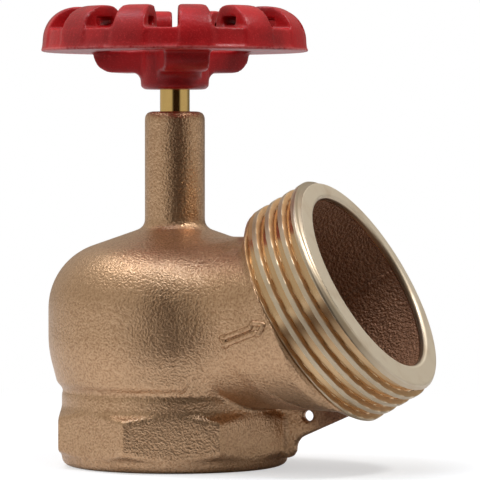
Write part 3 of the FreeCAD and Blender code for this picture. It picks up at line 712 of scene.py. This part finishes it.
def newTree(name, counts, numbers, vectors):
    # a tree that takes a geometry and these values, and gives a geometry
    tree = bpy.data.node_groups.new(name, "GeometryNodeTree")
    tree.interface.new_socket("Line", in_out="INPUT", socket_type="NodeSocketGeometry")
    for kind, labels in (("Int", counts), ("Float", numbers), ("Vector", vectors)):
        for label in labels:
            tree.interface.new_socket(label, in_out="INPUT", socket_type="NodeSocket" + kind)
    tree.interface.new_socket("Geometry", in_out="OUTPUT", socket_type="NodeSocketGeometry")
    return tree, Bench(tree)


threadCorner = 0.20  # rounding of the groove's corners, as a share of its depth


def threadTree(name, material, outward):
    # outward is 1 for a groove cut into the outside of a collar, -1 for one cut into a bore
    numbers = ("Depth", "Pitch", "Crest", "Slope", "First valley", "Start", "Fade", "End", "Run out")
    tree, bench = newTree(name, ("Around", "Rings"), numbers, ("Origin", "Axis", "Up", "Front"))
    given = bench.node("NodeGroupInput")
    grid = bench.node("GeometryNodeMeshGrid", None,
                      {"Size X": 1.0, "Size Y": 1.0,
                       "Vertices X": given["Rings"], "Vertices Y": given["Around"]})
    index = bench.node("GeometryNodeInputIndex")["Index"]
    ring = bench.math("FLOOR", (index + 0.5) / given["Around"])
    turn = (index - ring * given["Around"]) / (given["Around"] - 1)
    where = bench.node("GeometryNodeInputPosition")["Position"]
    sampled = bench.node("GeometryNodeSampleIndex", {"data_type": "FLOAT_VECTOR", "domain": "POINT"},
                         {"Geometry": given["Line"], "Value": where, "Index": ring})["Value"]
    parts = bench.split(sampled)
    along, radius, cut = parts["X"], parts["Y"], parts["Z"]
    # distance from the nearest groove's middle, and the angle wound up to there
    wound = (along - given["First valley"]) / given["Pitch"] - turn
    count = bench.math("ROUND", wound)
    off = bench.math("ABSOLUTE", wound - count) * given["Pitch"]
    angle = (count + turn) * 360.0
    half = (given["Pitch"] - given["Crest"]) * 0.5
    wall = (half - off) / given["Slope"]
    corner = given["Depth"] * threadCorner
    groove = bench.math("SMOOTH_MIN", wall, given["Depth"], corner)
    groove = bench.math("SMOOTH_MAX", groove, 0.0, corner)
    begun = bench.fade(angle, given["Start"] - given["Fade"], given["Start"])
    ended = 1.0 - bench.fade(angle, given["End"] - given["Run out"], given["End"])
    radius = radius - groove * cut * begun * ended * outward
    spin = turn * (2 * math.pi)
    side = bench.vector("ADD", bench.scale(given["Up"], bench.math("COSINE", spin)),
                        bench.scale(given["Front"], bench.math("SINE", spin)))
    wanted = bench.vector("ADD", given["Origin"], bench.scale(given["Axis"], along))
    wanted = bench.vector("ADD", wanted, bench.scale(side, radius))
    moved = bench.node("GeometryNodeSetPosition", None, {"Geometry": grid["Mesh"], "Position": wanted})
    closed = bench.node("GeometryNodeMergeByDistance", None,
                        {"Geometry": moved["Geometry"], "Distance": weld})
    finishTree(bench, closed["Geometry"], material)
    return tree


def grown(name, tree, points, values, edges=()):
    # runs a tree on a few points and returns the plain mesh that comes out
    base = bpy.data.meshes.new(name + "Base")
    base.from_pydata(points, edges, [])
    holder = bpy.data.objects.new(name + "Holder", base)
    modifier = holder.modifiers.new("grow", "NODES")
    modifier.node_group = tree
    for item in tree.interface.items_tree:
        if item.in_out == "INPUT" and item.name in values:
            modifier[item.identifier] = values[item.name]
    made = plainMesh(holder)
    made.name = name
    return made


def threadMesh(name, setup, points, material, outward, axes):
    tree = threadTree(name + "Tree", material, outward)
    mesh = grown(name, tree, points, {
        "Around": setup["around"], "Rings": len(points), "Depth": setup["depth"], "Pitch": setup["pitch"],
        "Crest": setup["crest"], "Slope": math.tan(math.radians(setup["flank"])),
        "First valley": setup["firstValley"], "Start": setup["startAngle"], "Fade": setup["fadeAngle"],
        "End": setup["endAngle"], "Run out": setup["runOut"], "Origin": axes["start"], "Axis": axes["along"],
        "Up": axes["up"], "Front": axes["front"]})
    return crisp(outwardFaces(mesh), 50)


def makeHoseThread(material):
    mesh = threadMesh("hoseThread", hoseThread, hoseSection(), material, 1.0, outlet)
    for vertex in mesh.vertices:
        if outletReach(vertex.co) > hoseThread["boreEnd"] - 0.1 * mm:
            vertex.co = leaned(vertex.co)
    return addPiece("hoseThread", mesh, "casing", material)


# the inlet's pipe thread, cut into the bore from below
inletThread = {
    "radius": 36.1 * mm, "depth": 1.25 * mm, "pitch": 2.31 * mm, "crest": 0.35 * mm, "flank": 29.0,
    "firstValley": 0.5 * mm, "startAngle": -400.0, "fadeAngle": 60.0, "endAngle": 3100.0, "runOut": 500.0,
    "bottom": -0.03 * mm, "top": 21.0 * mm, "wall": 38.5 * mm, "chamfer": 1.3 * mm, "topBevel": 0.3 * mm,
    "around": 241, "step": 0.29 * mm,
}


def makeInletThread(material):
    setup = inletThread
    radius, wall, bottom, top = setup["radius"], setup["wall"], setup["bottom"], setup["top"]
    chamfer, bevel, fine = setup["chamfer"], setup["topBevel"], setup["step"]
    section = Section(bottom, wall)
    section.run(bottom, radius + chamfer, 0.0, 0.5 * mm)
    section.run(bottom + chamfer, radius, 1.0, fine)
    section.run(top - bevel, radius, 1.0, fine)
    section.run(top, radius + bevel, 0.0, fine)
    section.run(top, wall, 0.0, 0.6 * mm)
    section.run(bottom, wall, 0.0, 3.0 * mm)
    mesh = threadMesh("inletThread", setup, section.points, material, -1.0, upright)
    return addPiece("inletThread", mesh, "casing", material)


# raised lines on the casting's skin: points across and up, in mm, dropped onto the casting from the front
flowArrow = {
    "points": ((35.8, 49.8), (38.4, 50.0), (48.5, 53.6), (49.4, 55.4), (54.2, 55.0), (51.9, 51.2),
               (51.1, 52.1), (38.9, 47.7), (37.5, 46.0), (37.8, 48.1)),
    "radius": 1.1 * mm, "sink": 0.25 * mm, "fillet": 0.35 * mm, "ragged": 0.0, "closed": True,
}
castingFlash = {
    "points": ((61.2, 20.9), (62.4, 21.6), (63.9, 21.5), (65.2, 22.7), (66.4, 22.3), (67.6, 22.9)),
    "radius": 0.65 * mm, "sink": 0.25 * mm, "fillet": 0.1 * mm, "ragged": 0.9 * mm, "closed": False,
}

# seam left by the core box inside the bore
coreSeam = {
    "begin": 50.0 * mm, "finish": 85.5 * mm, "angle": -81.5, "steps": 30,
    "radius": 1.1 * mm, "sink": 0.5 * mm, "fillet": 0.1 * mm, "ragged": 0.9 * mm, "closed": False,
}

# all raised lines: spacing of the points dropped and where they drop from, in mm, and the sweep
ridges = {
    "spacing": 1.2, "dropFrom": -200, "step": 0.25 * mm, "sides": 10, "cornerPoints": 4, "raggedScale": 900.0,
}


def ridgeTree(name, material):
    tree, bench = newTree(name, (), ("Radius", "Fillet", "Ragged", "Step"), ())
    given = bench.node("NodeGroupInput")
    line = bench.node("GeometryNodeMeshToCurve", None, {"Mesh": given["Line"]})["Curve"]
    line = bench.node("GeometryNodeFilletCurve", {"mode": "POLY"},
                      {"Curve": line, "Count": ridges["cornerPoints"], "Radius": given["Fillet"],
                       "Limit Radius": True})["Curve"]
    line = bench.node("GeometryNodeResampleCurve", {"mode": "LENGTH"},
                      {"Curve": line, "Length": given["Step"]})["Curve"]
    # a fixed pattern of noise pushes a ragged line about
    where = bench.node("GeometryNodeInputPosition")["Position"]
    pushed = bench.node("ShaderNodeTexNoise", None,
                        {"Vector": where, "Scale": ridges["raggedScale"], "Detail": 2.0})["Color"]
    pushed = bench.scale(bench.vector("SUBTRACT", pushed, (0.5, 0.5, 0.5)), given["Ragged"])
    line = bench.node("GeometryNodeSetPosition", None, {"Geometry": line, "Offset": pushed})["Geometry"]
    ring = bench.node("GeometryNodeCurvePrimitiveCircle", {"mode": "RADIUS"},
                      {"Resolution": ridges["sides"], "Radius": given["Radius"]})["Curve"]
    swept = bench.node("GeometryNodeCurveToMesh", None,
                       {"Curve": line, "Profile Curve": ring, "Fill Caps": True})
    finishTree(bench, swept["Mesh"], material)
    return tree


def frontRays(setup):
    corners = list(setup["points"]) + ([setup["points"][0]] if setup["closed"] else [])
    for (x0, z0), (x1, z1) in zip(corners, corners[1:]):
        count = max(1, round(math.dist((x0, z0), (x1, z1)) / ridges["spacing"]))
        for index in range(count):
            part = index / count
            start = Vector((x0 + (x1 - x0) * part, ridges["dropFrom"], z0 + (z1 - z0) * part)) * mm
            yield start, Vector((0, 1, 0))


def boreRays(setup):
    for index in range(setup["steps"] + 1):
        along = setup["begin"] + (setup["finish"] - setup["begin"]) * index / setup["steps"]
        middle = outletPoint(along, 0, 0)
        yield middle, outletPoint(along, 1, math.radians(setup["angle"])) - middle


def makeRidge(name, setup, rays, casting, material):
    skin = skinOf(casting.data)
    spots = []
    for start, towards in rays:
        spot, normal, _, _ = skin.ray_cast(start, towards)
        spots.append(spot - normal * setup["sink"])
    edges = [(index, index + 1) for index in range(len(spots) - 1)]
    if setup["closed"]:
        edges.append((len(spots) - 1, 0))
    mesh = grown(name, ridgeTree(name + "Tree", material), spots, {
        "Radius": setup["radius"], "Fillet": setup["fillet"], "Ragged": setup["ragged"],
        "Step": ridges["step"]}, edges)
    return addPiece(name, outwardFaces(mesh), "casing", material)


# the wheel: a painted casting, every edge rounded
wheelSettings = {"voxel": 0.62 * mm, "rounds": 7}


def makeWheel(material):
    mesh = softened(mergedCopy("handwheel"), wheelSettings["voxel"], wheelSettings["rounds"])
    mesh.shade_smooth()
    piece = addPiece("wheel", mesh, "spindle", material)
    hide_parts("handwheel")
    return piece


# turned and pressed parts keep their own shape and get smooth walls
def makeSmooth(node, name, body, material):
    piece = addPiece(name, crisp(mergedCopy(node)), body, material)
    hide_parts(node)
    return piece


camera = {
    "at": Vector((549.13, -1208.38, 118.2)) * mm, "towards": Vector((-0.397, 0.9175, -0.0263)),
    "lens": 268.8, "sensor": 36.0,
}

# studio: pale floor, a bright room that is open and dark behind the camera's right, and soft boxes
studio = {
    "floorHalf": 2.0, "floorHeight": -0.1 * mm, "floorTone": 0.93, "floorLight": 0.65,
    "whiteNear": 0.55, "whiteReach": (0.10, 0.40),
    "groundTone": rgb(0.10, 0.08, 0.07), "groundFacing": (0.58, 0.88), "groundReach": (0.07, 0.18),
    "ambient": 0.32, "leftGlow": 1.9, "leftWay": (-0.62, -0.25, 0.74), "leftFacing": (0.55, 0.95),
    "side": 0.52, "sideTint": rgb(1.0, 0.96, 0.87), "top": 0.95, "topHeight": (0.66, 0.94),
    "backDim": 0.65, "backFacing": (0.55, 0.95), "backHeight": (0.15, 0.45),
    "darkTone": rgb(0.016, 0.008, 0.004), "darkAngle": -54.5, "darkHalf": 28.5, "darkSoft": 10.0,
    "darkHeight": (0.60, 0.85),
}


def makeCamera():
    data = bpy.data.cameras.new("camera")
    data.lens = camera["lens"]
    data.sensor_width = camera["sensor"]
    shot = bpy.data.objects.new("camera", data)
    shot.location = camera["at"]
    shot.rotation_euler = camera["towards"].to_track_quat("-Z", "Y").to_euler()
    scene.collection.objects.link(shot)
    scene.camera = shot


def makeFloor():
    mesh = bpy.data.meshes.new("floor")
    half, height = studio["floorHalf"], studio["floorHeight"]
    corners = [(-half, -half, height), (half, -half, height), (half, half, height), (-half, half, height)]
    mesh.from_pydata(corners, [], [(0, 1, 2, 3)])
    floor = bpy.data.objects.new("floor", mesh)
    scene.collection.objects.link(floor)
    material, bench = newMaterial("paleFloor")
    seen = bench.node("ShaderNodeLightPath")["Is Camera Ray"]
    where = place(bench)
    away = bench.vector("LENGTH", where, out="Value")
    # past the table's front edge the ground is as dark as the room there
    middle = math.radians(studio["darkAngle"])
    facing = bench.vector("DOT_PRODUCT", where, (math.cos(middle), math.sin(middle), 0), out="Value") / away
    beyond = bench.fade(facing, *studio["groundFacing"]) * bench.fade(away, *studio["groundReach"])
    beyond = beyond * (1 - seen)
    tone = studio["floorLight"] + (studio["floorTone"] - studio["floorLight"]) * seen
    colour = bench.mix(beyond, bench.grey(tone), studio["groundTone"])
    plain = bench.node("ShaderNodeBsdfDiffuse", None, {"Color": colour})["BSDF"]
    white = bench.node("ShaderNodeEmission", None, {"Strength": 1.0})["Emission"]
    near = studio["whiteNear"]
    share = seen * (near + (1 - near) * bench.fade(away, *studio["whiteReach"]))
    both = bench.node("ShaderNodeMixShader", None, {0: share, 1: plain, 2: white})["Shader"]
    bench.node("ShaderNodeOutputMaterial", None, {"Surface": both})
    mesh.materials.append(material)


def makeWorld():
    world = bpy.data.worlds.new("studio")
    world.use_nodes = True
    scene.world = world
    bench = Bench(world.node_tree)
    path = bench.node("ShaderNodeLightPath")
    shiny = bench.math("MAXIMUM", path["Is Glossy Ray"], path["Is Transmission Ray"])
    way = bench.node("ShaderNodeTexCoord")["Generated"]
    parts = bench.split(way)
    level = bench.math("SQRT", parts["X"] * parts["X"] + parts["Y"] * parts["Y"] + 1e-6)
    # the room behind the camera is dark, which gives round metal its dark stripe
    middle = math.radians(studio["darkAngle"])
    facing = (parts["X"] * math.cos(middle) + parts["Y"] * math.sin(middle)) / level
    wide = math.cos(math.radians(studio["darkHalf"] + studio["darkSoft"]))
    narrow = math.cos(math.radians(studio["darkHalf"] - studio["darkSoft"]))
    dark = bench.fade(facing, wide, narrow) * (1 - bench.fade(parts["Z"], *studio["darkHeight"]))
    # shiny surfaces see a bright ceiling, dimmer sides and a low wall at the back
    ceiling = bench.fade(parts["Z"], *studio["topHeight"])
    behind = bench.fade(parts["Y"] / level, *studio["backFacing"])
    behind = behind * (1 - bench.fade(parts["Z"], *studio["backHeight"]))
    side = studio["side"] * (1 - behind * studio["backDim"])
    bright = side + (studio["top"] - side) * ceiling
    # matt surfaces get a soft light from the upper left
    fromLeft = bench.vector("DOT_PRODUCT", way, studio["leftWay"], out="Value")
    soft = studio["ambient"] + studio["leftGlow"] * bench.fade(fromLeft, *studio["leftFacing"])
    glow = soft + (bright - soft) * shiny
    glow = glow + (1 - glow) * path["Is Camera Ray"]
    colour = bench.mix(shiny * (1 - ceiling), bench.grey(glow), studio["sideTint"], "MULTIPLY")
    colour = bench.mix(dark * shiny, colour, studio["darkTone"])
    back = bench.node("ShaderNodeBackground", None, {"Color": colour, "Strength": 1.0})["Background"]
    bench.node("ShaderNodeOutputWorld", None, {"Surface": back})


softBoxes = {
    "leftBox": {"at": (-0.50, -0.10, 1.06), "size": (0.40, 0.30), "watts": 1.3, "tint": (1, 1, 1)},
    "rightBox": {"at": (0.62, 0.03, 1.03), "size": (0.26, 0.20), "watts": 5.8, "tint": (1, 1, 1)},
    "topBox": {"at": (-0.04, -0.21, 1.05), "size": (0.80, 0.14), "watts": 1.8, "tint": (0.84, 1.0, 1.28)},
}
lightAim = Vector((0.02, 0, 0.08))


def makeLights():
    for name, setup in softBoxes.items():
        data = bpy.data.lights.new(name, "AREA")
        data.shape = "RECTANGLE"
        data.size, data.size_y = setup["size"]
        data.energy = setup["watts"]
        data.color = setup["tint"]
        box = bpy.data.objects.new(name, data)
        box.location = setup["at"]
        box.rotation_euler = (lightAim - Vector(setup["at"])).to_track_quat("-Z", "Y").to_euler()
        scene.collection.objects.link(box)


makeCamera()
makeFloor()
makeWorld()
makeLights()
scene.view_settings.view_transform = "Standard"
print("studio set")

blastedBronze = makeBronze()
threadBrass = makeThreadBrass()
redPaint = makePaint()
stemBrass = makeLatheBrass(stemLook)
turnedBrass = makeLatheBrass(turnedLook)
sealRubber = makeRubber()
platedSteel = makePlatedSteel()
print("materials made")

casting = makeCasting(blastedBronze)
makeHoseThread(threadBrass)
makeInletThread(turnedBrass)
makeRidge("flowArrow", flowArrow, frontRays(flowArrow), casting, blastedBronze)
makeRidge("castingFlash", castingFlash, frontRays(castingFlash), casting, blastedBronze)
makeRidge("coreSeam", coreSeam, boreRays(coreSeam), casting, blastedBronze)
makeWheel(redPaint)
makeSmooth("stem", "stemRod", "spindle", stemBrass)
for node in ("stem_o_ring_lower", "stem_o_ring_upper"):
    makeSmooth(node, node.replace("stem_o_ring", "ringSeal"), "casing", sealRubber)
for node, name in (("disc_holder", "discHolder"), ("seal_washer", "sealWasher"), ("seal_screw", "sealScrew"),
                   ("disc_nut", "discNut")):
    makeSmooth(node, name, "lift", turnedBrass)
makeSmooth("seal_disc", "sealDisc", "lift", sealRubber)
makeSmooth("wheel_washer", "wheelWasher", "spindle", platedSteel)
makeSmooth("wheel_nut", "wheelNut", "spindle", platedSteel)
print("pieces made")
